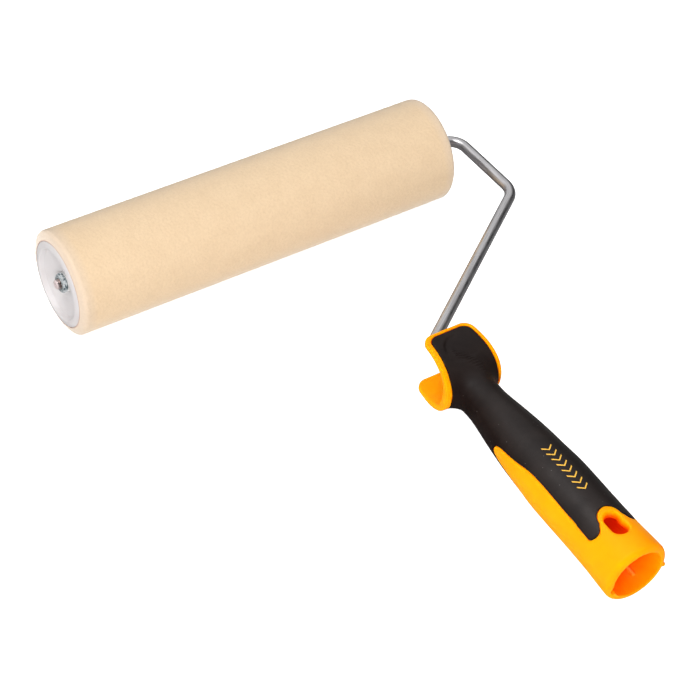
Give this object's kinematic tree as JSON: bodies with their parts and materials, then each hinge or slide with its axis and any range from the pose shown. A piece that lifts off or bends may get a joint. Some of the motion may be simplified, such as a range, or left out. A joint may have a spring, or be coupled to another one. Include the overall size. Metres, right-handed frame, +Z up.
{
  "type": "paint roller",
  "caption": "Hand paint roller: pile sleeve on a core with dished end caps, turning on a bent wire frame, with a rubber-covered handle and a pole socket.",
  "frame": {"origin": "centre of the wire frame's free threaded end, on the roller's axis", "axes": "+X along the roller's axis from its free end towards the wire's bends, -Y from the roller towards the handle's mouth, +Z up, square to the plane of the wire frame"},
  "size_m": [0.2723, 0.3492, 0.0612],
  "materials": {
    "pile": "short dense cream pile",
    "core": "resin-bound card",
    "cap_plastic": "white moulded plastic, satin",
    "nylon": "natural nylon, satin",
    "plated_wire": "drawn steel wire, satin plated",
    "zinc_hardware": "bluish zinc plate",
    "orange_plastic": "orange moulded polypropylene, satin",
    "black_rubber": "black soft-touch rubber, satin"
  },
  "bodies": {
    "frame": {"frame_rod": "plated_wire", "stop_collar": "zinc_hardware", "axle_nut": "zinc_hardware", "handle_body": "orange_plastic", "grip_cover": "black_rubber"},
    "roller": {"pile_cover": "pile", "core_tube": "core", "outer_end_cap": "cap_plastic", "inner_end_cap": "cap_plastic", "outer_bush": "nylon", "inner_bush": "nylon"},
    "outer_washer": {"outer_washer": "nylon"},
    "inner_washer": {"inner_washer": "nylon"}
  },
  "joints": [
    {"name": "roller_spin", "type": "hinge", "parent": "frame", "child": "roller", "pos_m": [0.1241, 0, 0], "axis": [1, 0, 0], "continuous": true},
    {"name": "outer_washer_spin", "type": "hinge", "parent": "frame", "child": "outer_washer", "pos_m": [0.0059, 0, 0], "axis": [1, 0, 0], "continuous": true},
    {"name": "inner_washer_spin", "type": "hinge", "parent": "frame", "child": "inner_washer", "pos_m": [0.2423, 0, 0], "axis": [1, 0, 0], "continuous": true}
  ]
}
